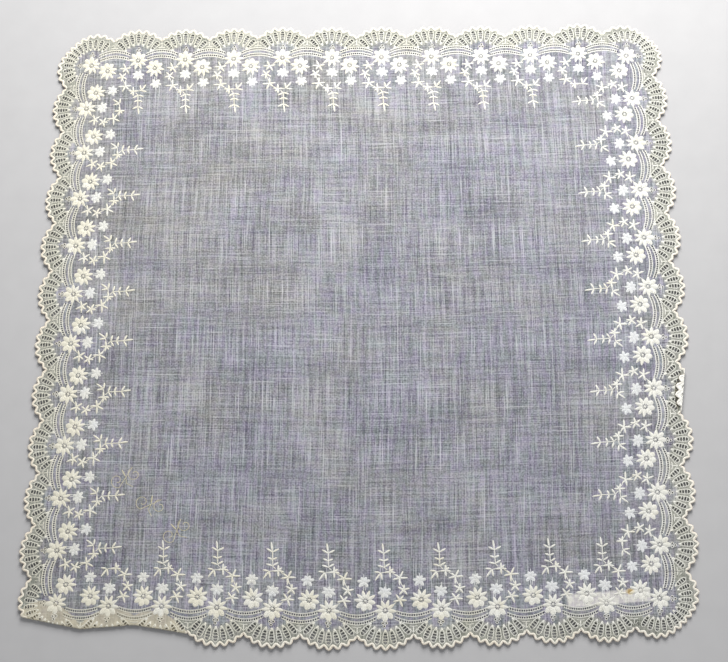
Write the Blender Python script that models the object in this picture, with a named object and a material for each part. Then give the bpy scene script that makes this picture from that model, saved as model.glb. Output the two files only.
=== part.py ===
"""Lace handkerchief lying flat: a square of sheer cloth with a scalloped, embroidered edge.

The cloth is one solid. It is drawn flat, in cloth coordinates (u to the right, v away from the
viewer, w through the cloth), and then laid on the surface: its sides bow a little, one scallop is
folded over onto the face, the edge of the near left corner is folded under, and the cloth rises
over that hem and over the short tape sewn behind it. Metres, +Z up.
"""
import math

import bmesh
import bpy
from mathutils import Matrix, Vector

MM = 0.001

# The cloth and its edge
PITCH = 24.16 * MM
SCALLOPS = 10
NOTCH_LINE = 145.4 * MM
HALF_RUN = PITCH * SCALLOPS / 2
SHEET = 1.0 * MM
GAP = 0.3 * MM

# A scallop is an arc round a point inside the notch line, waved into picots
FAN_DEPTH = 13.3 * MM
FAN_REACH = 18.35 * MM
FAN_PICOT = 0.85 * MM
FAN_PICOT_STEP = math.radians(12.8)
FAN_PICOTS_EACH_WAY = 3

# A corner lobe is a half circle and a little more, flattened towards its tip
CORNER_DEPTH = 12.9 * MM
CORNER_REACH = 17.2 * MM
CORNER_FLAT = 2.6 * MM
CORNER_PICOT = 0.8 * MM
CORNER_PICOT_STEP = math.radians(13.4)
CORNER_PICOTS_EACH_WAY = 6
POINTS_A_PICOT = 4

# How far each side lies from its even drawing, at places along it, in millimetres: across the side
# (to the right, or away), and along it
STATIONS = (-145.4, -120.8, -80.0, -40.0, 0.0, 40.0, 80.0, 120.8, 145.4)
ACROSS = {
    "top": (-0.2, 0.9, 0.6, 0.2, -0.8, -1.7, -2.3, -2.4, -2.8),
    "bottom": (0.3, 1.1, 0.8, -0.6, -2.0, -1.1, 0.5, 1.1, 1.7),
    "left": (-0.2, 0.4, 0.7, 0.9, 0.4, -0.1, 1.1, 0.8, 0.0),
    "right": (-1.2, -1.4, -0.6, 0.9, 1.7, 1.3, 0.7, -0.1, 0.9),
}
ALONG = {
    "top": (0.5, 0.1, -0.9, -0.7, -0.1, 0.6, 0.8, -0.4, -0.3),
    "bottom": (-0.2, -0.3, -1.1, -0.4, 0.8, 1.5, 1.9, 0.1, -0.1),
    "left": (-0.1, -0.3, -1.4, -1.1, -0.7, -0.3, -0.2, -1.0, -0.7),
    "right": (-0.5, -0.6, -1.6, -1.6, -0.6, 0.1, 1.2, 0.7, 0.2),
}

# The fold over the face, on the right: a line from one notch up across one scallop
OVER_NOTCHES = (-2, -1)
OVER_START = Vector((NOTCH_LINE + 0.05 * MM, OVER_NOTCHES[0] * PITCH))
OVER_END = Vector((148.0 * MM, -28.0 * MM))

# The fold under, at the near left corner: the crease's line, from the corner to a notch
UNDER_CREASE = (
    {"u": -154.0 * MM, "v": -136.0 * MM},
    {"u": -HALF_RUN, "v": -143.7 * MM},
    {"u": -HALF_RUN + PITCH, "v": -141.9 * MM},
    {"u": -HALF_RUN + 2 * PITCH, "v": -NOTCH_LINE - 0.05 * MM},
)
UNDER_REACH = -133.0 * MM
UNDER_END = UNDER_CREASE[-1]["u"] + 1.5 * MM
FOLD_RADIUS = (SHEET + GAP) / 2
FOLD_STEPS = 6
LIFT = SHEET + GAP
RAMP = 11.0 * MM

# The tape behind the cloth, near the right end of the near side
TAPE_LENGTH = 38.0 * MM
TAPE_WIDTH = 6.2 * MM
TAPE_THICK = 1.0 * MM
TAPE_U = 109.8 * MM
TAPE_V = -131.8 * MM
TAPE_TURN = math.radians(3.5)
TAPE_CLEAR = 1.5 * MM

# The edge doesn't lie quite flat: it lifts a little between the corners, in long waves
CURL = 0.45 * MM
CURL_DEEP = 26.0 * MM
CURL_WAVE = NOTCH_LINE / 2

# The flat sheet's own mesh
GRID = 12.5 * MM
GRID_HALF = 156.0 * MM
GRID_START = 6.1 * MM
WELD = 0.01 * MM

CLOTH_COLOUR = (0.55, 0.55, 0.56, 1.0)
TAPE_COLOUR = (0.82, 0.81, 0.76, 1.0)


def remove_all():
    """Empty the scene of objects."""
    for thing in list(bpy.data.objects):
        bpy.data.objects.remove(thing, do_unlink=True)


def new_collection(name):
    """A collection of this name, linked to the scene."""
    group = bpy.data.collections.new(name)
    bpy.context.scene.collection.children.link(group)
    return group


def cloth_material(name, colour, roughness):
    """A plain fabric finish."""
    material = bpy.data.materials.new(name)
    material.use_nodes = True
    shader = material.node_tree.nodes["Principled BSDF"]
    shader.inputs["Base Color"].default_value = colour
    shader.inputs["Roughness"].default_value = roughness
    shader.inputs["Metallic"].default_value = 0.0
    material.diffuse_color = colour
    return material


def fade_out(share, power):
    """1 in the middle of a lobe, falling to 0 at its notches."""
    return 1.0 - min(1.0, abs(share)) ** power


def scallop_points(middle_u):
    """One scallop of the far side, right to left, with the notch that it starts from."""
    notch = math.atan2(PITCH / 2, FAN_DEPTH)
    notch_reach = math.hypot(PITCH / 2, FAN_DEPTH)
    points = [Vector((middle_u + PITCH / 2, NOTCH_LINE))]
    steps = FAN_PICOTS_EACH_WAY * POINTS_A_PICOT
    for step in range(-steps, steps + 1):
        angle = step * FAN_PICOT_STEP / POINTS_A_PICOT
        share = angle / notch
        reach = FAN_REACH + (notch_reach - FAN_REACH) * share * share
        wave = math.cos(math.tau * angle / FAN_PICOT_STEP)
        reach += FAN_PICOT * wave * fade_out(share, 4)
        centre_v = NOTCH_LINE - FAN_DEPTH
        points.append(Vector((middle_u - reach * math.sin(angle), centre_v + reach * math.cos(angle))))
    return points


def corner_points():
    """The far left corner lobe, anticlockwise, with the notch that it starts from."""
    centre = Vector((CORNER_DEPTH - NOTCH_LINE, NOTCH_LINE - CORNER_DEPTH))
    notch = Vector((-HALF_RUN, NOTCH_LINE))
    notch_angle = math.radians(135) - math.atan2(notch.y - centre.y, notch.x - centre.x)
    points = [notch]
    steps = CORNER_PICOTS_EACH_WAY * POINTS_A_PICOT
    for step in range(-steps, steps + 1):
        angle = step * CORNER_PICOT_STEP / POINTS_A_PICOT
        reach = CORNER_REACH - CORNER_FLAT * math.cos(angle) ** 4
        wave = math.cos(math.tau * angle / CORNER_PICOT_STEP)
        reach += CORNER_PICOT * wave * fade_out(angle / notch_angle, 8)
        turn = math.radians(135) + angle
        points.append(centre + reach * Vector((math.cos(turn), math.sin(turn))))
    return points


def outline_points():
    """The whole flat outline: one side and one corner, turned four times."""
    quarter = []
    for index in range(SCALLOPS):
        quarter += scallop_points(HALF_RUN - PITCH * (index + 0.5))
    quarter += corner_points()
    points = []
    for turn in range(4):
        spin = Matrix.Rotation(turn * math.pi / 2, 2)
        points += [spin @ point for point in quarter]
    return points


def outline_prism(group):
    """The outline as a 2D curve, filled and made thick, then turned into a closed mesh."""
    curve = bpy.data.curves.new("outline", "CURVE")
    curve.dimensions = "2D"
    curve.fill_mode = "BOTH"
    curve.extrude = 2 * SHEET
    points = outline_points()
    spline = curve.splines.new("POLY")
    spline.points.add(len(points) - 1)
    for slot, point in zip(spline.points, points):
        slot.co = (point.x, point.y, 0.0, 1.0)
    spline.use_cyclic_u = True
    drawn = bpy.data.objects.new("outline_curve", curve)
    group.objects.link(drawn)
    bpy.context.view_layer.update()
    depsgraph = bpy.context.evaluated_depsgraph_get()
    mesh = bpy.data.meshes.new_from_object(drawn.evaluated_get(depsgraph))
    bm = bmesh.new()
    bm.from_mesh(mesh)
    bmesh.ops.remove_doubles(bm, verts=bm.verts, dist=WELD)
    bmesh.ops.recalc_face_normals(bm, faces=bm.faces)
    bm.to_mesh(mesh)
    bm.free()
    prism = bpy.data.objects.new("outline_prism", mesh)
    prism.matrix_world = drawn.matrix_world
    group.objects.link(prism)
    bpy.data.objects.remove(drawn, do_unlink=True)
    prism.hide_render = True
    prism.display_type = "WIRE"
    return prism


def tape_reach():
    """The rectangle, along u and v, that the turned tape covers, with its clearance."""
    half_u = (TAPE_LENGTH * math.cos(TAPE_TURN) + TAPE_WIDTH * math.sin(TAPE_TURN)) / 2 + TAPE_CLEAR
    half_v = (TAPE_LENGTH * math.sin(TAPE_TURN) + TAPE_WIDTH * math.cos(TAPE_TURN)) / 2 + TAPE_CLEAR
    return (TAPE_U - half_u, TAPE_U + half_u), (TAPE_V - half_v, TAPE_V + half_v)


def grid_lines():
    """Where the flat sheet is cut, along u and along v: an even grid, and each ramp's ends."""
    even = []
    place = -GRID_HALF + GRID_START
    while place < GRID_HALF:
        even.append(place)
        place += GRID
    reach_u, reach_v = tape_reach()
    own_u = [row["u"] for row in UNDER_CREASE[1:]] + [UNDER_END, UNDER_END + RAMP]
    own_u += [reach_u[0] - RAMP, reach_u[0], reach_u[1], reach_u[1] + RAMP]
    own_v = [UNDER_REACH, UNDER_REACH + RAMP]
    own_v += [reach_v[0] - RAMP, reach_v[0], reach_v[1], reach_v[1] + RAMP]
    near = GRID / 3
    lines = []
    for own in (own_u, own_v):
        kept = [line for line in even if min(abs(line - other) for other in own) > near]
        lines.append(sorted(kept + own))
    return lines


def cut_sheet(bm, faces, place, across):
    """One straight cut through some faces of the sheet, across a direction in its plane."""
    edges = {edge for face in faces for edge in face.edges}
    verts = {vert for face in faces for vert in face.verts}
    geom = list(verts) + list(edges) + list(faces)
    bmesh.ops.bisect_plane(
        bm,
        geom=geom,
        dist=WELD,
        plane_co=(place[0], place[1], 0.0),
        plane_no=(across[0], across[1], 0.0),
    )


def gridded_slab(group):
    """A flat slab larger than the cloth, cut along the grid lines."""
    bm = bmesh.new()
    bmesh.ops.create_cube(bm, size=1.0)
    bmesh.ops.scale(bm, verts=bm.verts, vec=(2 * GRID_HALF, 2 * GRID_HALF, SHEET))
    lines_u, lines_v = grid_lines()
    for line in lines_u:
        cut_sheet(bm, list(bm.faces), (line, 0.0), (1.0, 0.0))
    for line in lines_v:
        cut_sheet(bm, list(bm.faces), (0.0, line), (0.0, 1.0))
    mesh = bpy.data.meshes.new("handkerchief")
    bm.to_mesh(mesh)
    bm.free()
    slab = bpy.data.objects.new("handkerchief", mesh)
    group.objects.link(slab)
    return slab


def crease(u):
    """The v of the folded-under corner's crease at this u."""
    rows = UNDER_CREASE
    for low, high in zip(rows, rows[1:]):
        if u <= high["u"]:
            share = (u - low["u"]) / (high["u"] - low["u"])
            return low["v"] + share * (high["v"] - low["v"])
    return rows[-1]["v"]


def over_directions():
    """The directions along the crease of the fold over the face, and outwards across it."""
    along = (OVER_END - OVER_START).normalized()
    return along, Vector((along.y, -along.x))


def in_over_scallop(point):
    """Whether a point is in the scallop whose tip is folded over."""
    low, high = (notch * PITCH for notch in OVER_NOTCHES)
    return low <= point.y <= high and point.x > NOTCH_LINE - FAN_DEPTH


def cut_folds(bm):
    """Extra cuts across each fold, so that the cloth can turn there in even steps."""
    step = math.pi * FOLD_RADIUS / FOLD_STEPS
    for low, high in zip(UNDER_CREASE, UNDER_CREASE[1:]):
        slope = Vector((high["u"] - low["u"], high["v"] - low["v"])).normalized()
        across = Vector((slope.y, -slope.x))
        for index in range(FOLD_STEPS + 1):
            faces = [face for face in bm.faces
                     if low["u"] < face.calc_center_median().x < high["u"]
                     and face.calc_center_median().y < UNDER_REACH]
            cut_sheet(bm, faces, (low["u"], low["v"] - index * step), across)
    outward = over_directions()[1]
    for index in range(FOLD_STEPS + 1):
        faces = [face for face in bm.faces if in_over_scallop(face.calc_center_median().xy)]
        cut_sheet(bm, faces, OVER_START + outward * index * step, outward)


def run_of(values, along):
    """A side's value at a place along it, between the two nearest stations."""
    place = along / MM
    for low, high, first, second in zip(STATIONS, STATIONS[1:], values, values[1:]):
        if place <= high:
            share = max(0.0, (place - low) / (high - low))
            return (first + share * (second - first)) * MM
    return values[-1] * MM


def bowed(point):
    """A point of the flat cloth, moved with the runs of the four sides."""
    across = (point.x / NOTCH_LINE + 1) / 2
    away = (point.y / NOTCH_LINE + 1) / 2
    move = Vector((0.0, 0.0))
    for side, share in (("left", 1 - across), ("right", across)):
        move += share * Vector((run_of(ACROSS[side], point.y), run_of(ALONG[side], point.y)))
    for side, share in (("bottom", 1 - away), ("top", away)):
        move += share * Vector((run_of(ALONG[side], point.x), run_of(ACROSS[side], point.x)))
    return point + move


def ramp(distance):
    """1 up to a line, then falling to 0 over the ramp's length."""
    return max(0.0, min(1.0, 1.0 - distance / RAMP))


def lift(point):
    """The height of the cloth's underside above the surface."""
    under = ramp(point.x - UNDER_END) * ramp(point.y - UNDER_REACH)
    reach_u, reach_v = tape_reach()
    over_tape = ramp(abs(point.x - TAPE_U) - (reach_u[1] - reach_u[0]) / 2)
    over_tape *= ramp(abs(point.y - TAPE_V) - (reach_v[1] - reach_v[0]) / 2)
    raised = LIFT * max(under, over_tape)
    edge = max(abs(point.x), abs(point.y)) - (NOTCH_LINE - CURL_DEEP)
    wave_u = math.cos(math.tau * point.x / CURL_WAVE)
    wave_v = math.cos(math.tau * point.y / CURL_WAVE)
    curl = CURL * max(0.0, min(1.0, edge / CURL_DEEP)) * (1.0 - wave_u * wave_v) / 2
    return raised + curl * (1.0 - raised / LIFT)


def lay_point(flat):
    """Where a point of the flat slab comes to lie, folds and bows and all."""
    point = flat.xy
    height = SHEET / 2
    normal = Vector((0.0, 0.0, 1.0))
    along, outward = over_directions()
    offset = point - OVER_START
    beyond = offset.dot(outward)
    if beyond > 0.0 and in_over_scallop(point):
        turn = min(math.pi, beyond / FOLD_RADIUS)
        back = max(0.0, beyond - math.pi * FOLD_RADIUS)
        point = OVER_START + along * offset.dot(along) + outward * (FOLD_RADIUS * math.sin(turn) - back)
        height += lift(point) + FOLD_RADIUS * (1 - math.cos(turn))
        normal = Vector((-outward.x * math.sin(turn), -outward.y * math.sin(turn), math.cos(turn)))
    elif point.x < UNDER_CREASE[-1]["u"] and point.y < crease(point.x):
        beyond = crease(point.x) - point.y
        turn = min(math.pi, beyond / FOLD_RADIUS)
        back = max(0.0, beyond - math.pi * FOLD_RADIUS)
        point = Vector((point.x, crease(point.x) - FOLD_RADIUS * math.sin(turn) + back))
        height += LIFT * (1 + math.cos(turn)) / 2
        normal = Vector((0.0, -math.sin(turn), math.cos(turn)))
    else:
        height += lift(point)
    spot = bowed(point)
    return Vector((spot.x, spot.y, height)) + normal * flat.z


def cut_to_outline(slab, prism):
    """The slab's mesh, cut to the outline."""
    cutter = slab.modifiers.new("outline", "BOOLEAN")
    cutter.operation = "INTERSECT"
    cutter.solver = "EXACT"
    cutter.object = prism
    depsgraph = bpy.context.evaluated_depsgraph_get()
    mesh = bpy.data.meshes.new_from_object(slab.evaluated_get(depsgraph))
    slab.modifiers.remove(cutter)
    slab.data = mesh


def make_handkerchief(parts, cutters):
    """The cloth: a flat scalloped slab, cut across its folds and laid."""
    slab = gridded_slab(parts)
    prism = outline_prism(cutters)
    bpy.context.view_layer.update()
    cut_to_outline(slab, prism)
    bm = bmesh.new()
    bm.from_mesh(slab.data)
    bmesh.ops.remove_doubles(bm, verts=bm.verts, dist=WELD)
    cut_folds(bm)
    bmesh.ops.triangulate(bm, faces=bm.faces)
    for vert in bm.verts:
        vert.co = lay_point(vert.co)
    bmesh.ops.recalc_face_normals(bm, faces=bm.faces)
    bm.to_mesh(slab.data)
    bm.free()
    slab.data.materials.clear()
    slab.data.materials.append(cloth_material("sheer_cloth", CLOTH_COLOUR, 0.9))
    return slab


def make_tape(parts):
    """The short tape behind the cloth, lying on the surface."""
    bm = bmesh.new()
    bmesh.ops.create_cube(bm, size=1.0)
    bmesh.ops.scale(bm, verts=bm.verts, vec=(TAPE_LENGTH, TAPE_WIDTH, TAPE_THICK))
    bmesh.ops.rotate(bm, verts=bm.verts, matrix=Matrix.Rotation(TAPE_TURN, 3, "Z"))
    place = bowed(Vector((TAPE_U, TAPE_V)))
    bmesh.ops.translate(bm, verts=bm.verts, vec=(place.x, place.y, TAPE_THICK / 2))
    mesh = bpy.data.meshes.new("backing_tape")
    bm.to_mesh(mesh)
    bm.free()
    mesh.materials.append(cloth_material("cotton_tape", TAPE_COLOUR, 0.85))
    tape = bpy.data.objects.new("backing_tape", mesh)
    parts.objects.link(tape)
    return tape


def stand_on_origin(things):
    """Move the whole part so that the origin is under the middle of its box."""
    corners = [vert.co for thing in things for vert in thing.data.vertices]
    low = Vector([min(corner[axis] for corner in corners) for axis in range(3)])
    high = Vector([max(corner[axis] for corner in corners) for axis in range(3)])
    shift = Vector((-(low.x + high.x) / 2, -(low.y + high.y) / 2, -low.z))
    for thing in things:
        thing.data.transform(Matrix.Translation(shift))
        thing.data.update()


def main():
    """Build the handkerchief and its tape."""
    remove_all()
    parts = new_collection("lace_handkerchief")
    cutters = new_collection("cutters")
    cloth = make_handkerchief(parts, cutters)
    tape = make_tape(parts)
    stand_on_origin([cloth, tape])


main()
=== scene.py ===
# %% [markdown]
# # A lace handkerchief, stitched in Blender
#
# The real thing is one square of very fine, sheer cotton. Its edge is cut into scallops and worked
# with white thread: a corded rim, fans of small cut holes, chains of drawn squares, and flowers,
# stars and sprays in satin stitch. The plain solid that this script loads has the cloth's outline
# and folds, 1 mm thick. Here the same cloth is made at its real thickness, with its holes and its
# stitches, in the same place.
#
# Every piece is drawn flat first, in millimetres, where a side is straight and a repeat is exact.
# Then one function lays all of them the same way, so the stitches follow the cloth into its folds.

# %% Load the frame
import math

import bmesh
import bpy
from mathutils import Matrix, Vector


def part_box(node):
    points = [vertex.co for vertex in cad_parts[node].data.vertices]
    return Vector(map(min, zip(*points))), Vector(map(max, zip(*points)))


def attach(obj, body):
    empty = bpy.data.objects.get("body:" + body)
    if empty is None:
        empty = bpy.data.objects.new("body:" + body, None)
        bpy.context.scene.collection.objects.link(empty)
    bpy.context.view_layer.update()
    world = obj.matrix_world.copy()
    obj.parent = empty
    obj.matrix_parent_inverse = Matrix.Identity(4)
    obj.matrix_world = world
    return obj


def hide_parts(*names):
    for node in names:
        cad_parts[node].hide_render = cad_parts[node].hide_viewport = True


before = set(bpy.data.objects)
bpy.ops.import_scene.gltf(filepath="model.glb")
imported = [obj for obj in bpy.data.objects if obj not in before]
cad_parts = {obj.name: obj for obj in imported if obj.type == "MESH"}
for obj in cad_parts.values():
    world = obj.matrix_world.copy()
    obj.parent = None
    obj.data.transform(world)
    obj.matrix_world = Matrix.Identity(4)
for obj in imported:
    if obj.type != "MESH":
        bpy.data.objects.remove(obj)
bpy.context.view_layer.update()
MM = 0.001

# %% [markdown]
# ## The camera, the floor and the light
#
# A camera is placed first, because everything is judged through it. It stands almost above the
# cloth and a little to the near side. The floor is plain and pale. A large lamp stands low on the
# far side, because the far border is the brightest. It gives each satin petal a light and a dark
# side, and a weaker one opposite keeps the shade soft. A lamp straight above would fill the small
# holes with light and flatten the stitches.

# %% Camera
CAMERA_PLACE = Vector((28.4, -195.5, 605.1)) * MM
CAMERA_TURN = [math.radians(angle) for angle in (17.256, 2.488, -0.188)]
CAMERA_LENS = 67.55

lens = bpy.data.cameras.new("camera")
lens.lens = CAMERA_LENS
lens.sensor_width = 36.0
lens.clip_start = 0.01
camera = bpy.data.objects.new("camera", lens)
camera.location = CAMERA_PLACE
camera.rotation_euler = CAMERA_TURN
bpy.context.scene.collection.objects.link(camera)
bpy.context.scene.camera = camera
bpy.context.scene.view_settings.view_transform = "Standard"

# %% Lamps and daylight
def add_lamp(name, place, size, power, colour):
    """A square soft lamp that looks at the middle of the cloth."""
    data = bpy.data.lights.new(name, "AREA")
    data.size = size
    data.energy = power
    data.color = colour
    lamp = bpy.data.objects.new(name, data)
    lamp.location = place
    lamp.rotation_euler = (-Vector(place)).to_track_quat("-Z", "Y").to_euler()
    bpy.context.scene.collection.objects.link(lamp)
    return lamp


add_lamp("key_lamp", (0.08, 0.50, 0.38), 0.40, 7.4, (1.0, 0.985, 0.96))
add_lamp("fill_lamp", (0.6, -0.9, 0.9), 0.9, 3.0, (0.97, 0.98, 1.0))
daylight = bpy.data.worlds.new("daylight")
daylight.use_nodes = True
daylight.node_tree.nodes["Background"].inputs["Color"].default_value = (0.98, 0.99, 1.0, 1.0)
daylight.node_tree.nodes["Background"].inputs["Strength"].default_value = 0.30
bpy.context.scene.world = daylight

# %% [markdown]
# ## Finishes
#
# Shader maths is easier to read as Python than as a plate of nodes. A wire is the output of a node,
# and adding or multiplying wires adds the Math node that does so. A finish is a material with one
# method that adds any other node.

# %% Wires and finishes
class Wire:
    """One output of a shader node, which can be used in sums."""

    def __init__(self, finish, socket):
        self.finish = finish
        self.socket = socket

    def math(self, operation, first, second=0.0):
        """A Math node on two wires or numbers."""
        settings = {"operation": operation, "use_clamp": False}
        return self.finish.add("ShaderNodeMath", settings, {0: first, 1: second})

    def __add__(self, other):
        return self.math("ADD", self, other)

    __radd__ = __add__

    def __sub__(self, other):
        return self.math("SUBTRACT", self, other)

    def __rsub__(self, other):
        return self.math("SUBTRACT", other, self)

    def __mul__(self, other):
        return self.math("MULTIPLY", self, other)

    __rmul__ = __mul__

    def __truediv__(self, other):
        return self.math("DIVIDE", self, other)

    def __pow__(self, other):
        return self.math("POWER", self, other)


class Finish:
    """A material with a Principled shader, and one way to add any other node."""

    def __init__(self, name, roughness=0.8):
        self.material = bpy.data.materials.new(name)
        self.material.use_nodes = True
        self.tree = self.material.node_tree
        self.shader = self.tree.nodes["Principled BSDF"]
        self.shader.inputs["Roughness"].default_value = roughness

    def join(self, socket, value):
        """Links a wire to a socket, or sets the socket's value."""
        if isinstance(value, Wire):
            self.tree.links.new(value.socket, socket)
        else:
            socket.default_value = value

    def add(self, kind, settings=None, inputs=None, output=0):
        """A node of any kind, with its settings first and then its inputs."""
        node = self.tree.nodes.new(kind)
        for key, value in (settings or {}).items():
            setattr(node, key, value)
        for key, value in (inputs or {}).items():
            self.join(node.inputs[key], value)
        return Wire(self, node.outputs[output])

    def attribute(self, name):
        """The first two numbers of a vector that was stored on the mesh's points."""
        vector = self.add("ShaderNodeAttribute", {"attribute_name": name}, output=1)
        parts = self.add("ShaderNodeSeparateXYZ", {}, {0: vector}).socket.node
        return [Wire(self, socket) for socket in parts.outputs[:2]]

    def speckle(self, x, y, z=0.0, detail=2.0):
        """Soft noise from 0 to 1 at a place."""
        place = self.add("ShaderNodeCombineXYZ", {}, {0: x, 1: y, 2: z})
        return self.add("ShaderNodeTexNoise", {}, {"Vector": place, "Scale": 1.0, "Detail": detail})

    def step(self, value, low, high):
        """0 below one value and 1 above another, and smooth between them."""
        settings = {"interpolation_type": "SMOOTHSTEP"}
        return self.add("ShaderNodeMapRange", settings, {0: value, 1: low, 2: high})

    def blend(self, share, first, second):
        """A colour between two, which may be wires."""
        inputs = {0: share, 6: first, 7: second}
        return self.add("ShaderNodeMix", {"data_type": "RGBA"}, inputs, output=2)

    def wave(self, value, pitch):
        """A sine from -1 to 1 that repeats at a pitch."""
        return self.add("ShaderNodeMath", {"operation": "SINE"}, {0: value * (math.tau / pitch)})

    def size_of(self, value):
        """A number without its sign."""
        return self.add("ShaderNodeMath", {"operation": "ABSOLUTE"}, {0: value})

    def paint(self, name, value):
        """Joins a wire to one of the shader's own sockets."""
        self.join(self.shader.inputs[name], value)

    def relief(self, height, distance):
        """Bumps on the surface, from a height between 0 and 1."""
        bump = self.add("ShaderNodeBump", {}, {"Height": height, "Distance": distance})
        self.paint("Normal", bump)


# %% The floor
FLOOR_SIZE = 4.0
floor_finish = Finish("plain_floor", 0.9)
where = floor_finish.add("ShaderNodeTexCoord", {}, output=3)
grain = floor_finish.add("ShaderNodeTexNoise", {}, {"Vector": where, "Scale": 90.0, "Detail": 3.0})
floor_finish.paint("Base Color", floor_finish.blend(grain, (0.43, 0.43, 0.44, 1), (0.47, 0.47, 0.48, 1)))
floor_shape = bmesh.new()
bmesh.ops.create_grid(floor_shape, x_segments=1, y_segments=1, size=FLOOR_SIZE / 2)
floor_mesh = bpy.data.meshes.new("floor")
floor_shape.to_mesh(floor_mesh)
floor_shape.free()
floor_mesh.materials.append(floor_finish.material)
floor = bpy.data.objects.new("floor", floor_mesh)
bpy.context.scene.collection.objects.link(floor)

# %% [markdown]
# ## The flat pattern
#
# A cutter would draw one scallop and repeat it ten times along a side, then turn the side for the
# next one. The sizes here are that drawing's: the repeat, the line through the notches between the
# scallops, and the round fan of each scallop with its seven points.

# %% Sizes of the edge, in millimetres
PITCH = 24.16
SCALLOPS = 10
NOTCH_LINE = 145.4
HALF_RUN = PITCH * SCALLOPS / 2
HALF_PITCH = PITCH / 2
BORDER = NOTCH_LINE - HALF_RUN

FAN_DEPTH = 13.3
FAN_REACH = 18.35
FAN_PICOT = 0.85
FAN_STEP = math.radians(12.8)
FAN_PICOTS_EACH_WAY = 3

CORNER_DEPTH = 12.9
CORNER_REACH = 17.2
CORNER_FLAT = 2.6
CORNER_PICOT = 0.8
CORNER_STEP = math.radians(13.4)
CORNER_PICOTS_EACH_WAY = 6
POINTS_A_PICOT = 8

# %% The edge's two curves
def fan_edge(inset, picot=FAN_PICOT):
    """A scallop's edge, left to right, from notch to notch, moved in by an inset."""
    notch = math.atan2(HALF_PITCH, FAN_DEPTH)
    notch_reach = math.hypot(HALF_PITCH, FAN_DEPTH)
    points = []
    steps = FAN_PICOTS_EACH_WAY * POINTS_A_PICOT + POINTS_A_PICOT // 2
    for step in range(-steps, steps + 1):
        angle = step * FAN_STEP / POINTS_A_PICOT
        share = min(1.0, abs(angle / notch))
        reach = FAN_REACH + (notch_reach - FAN_REACH) * share ** 2
        reach += picot * math.cos(math.tau * angle / FAN_STEP) * (1 - share ** 4) - inset
        point = Vector((reach * math.sin(angle), reach * math.cos(angle) - FAN_DEPTH))
        if abs(point.x) < HALF_PITCH - 0.35:
            points.append(point)
    return points


def corner_edge(inset, picot=CORNER_PICOT):
    """The far left corner's edge, anticlockwise, round the point where two notch lines cross."""
    centre = Vector((CORNER_DEPTH, -CORNER_DEPTH))
    points = []
    steps = CORNER_PICOTS_EACH_WAY * POINTS_A_PICOT + POINTS_A_PICOT // 2
    for step in range(-steps, steps + 1):
        angle = step * CORNER_STEP / POINTS_A_PICOT
        share = min(1.0, abs(angle) / (steps * CORNER_STEP / POINTS_A_PICOT))
        reach = CORNER_REACH - CORNER_FLAT * math.cos(angle) ** 4
        reach += picot * math.cos(math.tau * angle / CORNER_STEP) * (1 - share ** 8) - inset
        turn = math.radians(135) + angle
        point = centre + reach * Vector((math.cos(turn), math.sin(turn)))
        if point.x < BORDER - 0.35 and point.y > 0.35 - BORDER:
            points.append(point)
    return points


# %% Places of the repeats
def places_round(spots):
    """The places of these spots along a notch line, on each of the four sides, as matrices."""
    sides = [Matrix.Rotation(side * math.pi / 2, 4, "Z") for side in range(4)]
    return [side @ Matrix.Translation((along, NOTCH_LINE, 0.0)) for side in sides for along in spots]


SCALLOP_PLACES = places_round([HALF_RUN - PITCH * (index + 0.5) for index in range(SCALLOPS)])
NOTCH_PLACES = places_round([HALF_RUN - PITCH * index for index in range(SCALLOPS + 1)])
CORNER_PLACES = places_round([-NOTCH_LINE])
SPRAY_PLACES = [place for index, place in enumerate(SCALLOP_PLACES) if index % SCALLOPS > 0]
print("scallops", len(SCALLOP_PLACES), "notches", len(NOTCH_PLACES), "sprays", len(SPRAY_PLACES))

# %% [markdown]
# ## How the cloth lies
#
# The cloth lies nearly flat. It is soft, so its four sides bow a little and the stitched repeats
# are not quite even: the runs below say how far they lie from the drawing, across a side and
# along it, at nine places. One scallop on the right has turned over onto the face, and the near left
# corner's edge is tucked under. Each fold is an arc round a crease line. Simulated cloth would give
# softer and more random folds, and these are known, so they are worked out: a point beyond the crease
# is first carried round the arc and then back over or under the cloth. The cloth rises over the
# tucked edge and over the tape sewn behind it.

# %% Sizes of the lie, in millimetres
STATIONS = (-145.4, -120.8, -80.0, -40.0, 0.0, 40.0, 80.0, 120.8, 145.4)
ACROSS = {
    "top": (-0.2, 0.9, 0.6, 0.2, -0.8, -1.7, -2.3, -2.4, -2.8),
    "bottom": (0.3, 1.1, 0.8, -0.6, -2.0, -1.1, 0.5, 1.1, 1.7),
    "left": (-0.2, 0.4, 0.7, 0.9, 0.4, -0.1, 1.1, 0.8, 0.0),
    "right": (-1.2, -1.4, -0.6, 0.9, 1.7, 1.3, 0.7, -0.1, 0.9),
}
ALONG = {
    "top": (0.5, 0.1, -0.9, -0.7, -0.1, 0.6, 0.8, -0.4, -0.3),
    "bottom": (-0.2, -0.3, -1.1, -0.4, 0.8, 1.5, 1.9, 0.1, -0.1),
    "left": (-0.1, -0.3, -1.4, -1.1, -0.7, -0.3, -0.2, -1.0, -0.7),
    "right": (-0.5, -0.6, -1.6, -1.6, -0.6, 0.1, 1.2, 0.7, 0.2),
}
REST = 0.80
FOLD_RADIUS = 0.38
FOLD_STEPS = 6
LIFT = 0.55
RAMP = 11.0
OVER_NOTCHES = (-2, -1)
OVER_START = Vector((NOTCH_LINE + 0.05, OVER_NOTCHES[0] * PITCH))
OVER_END = Vector((148.0, -28.0))
UNDER_CREASE = (
    Vector((-154.0, -136.0)),
    Vector((-HALF_RUN, -143.7)),
    Vector((-HALF_RUN + PITCH, -141.9)),
    Vector((-HALF_RUN + 2 * PITCH, -NOTCH_LINE - 0.05)),
)
UNDER_REACH = -133.0
UNDER_END = UNDER_CREASE[-1].x + 1.5
EDGE_CURL = 0.45
EDGE_CURL_DEEP = 26.0
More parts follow.
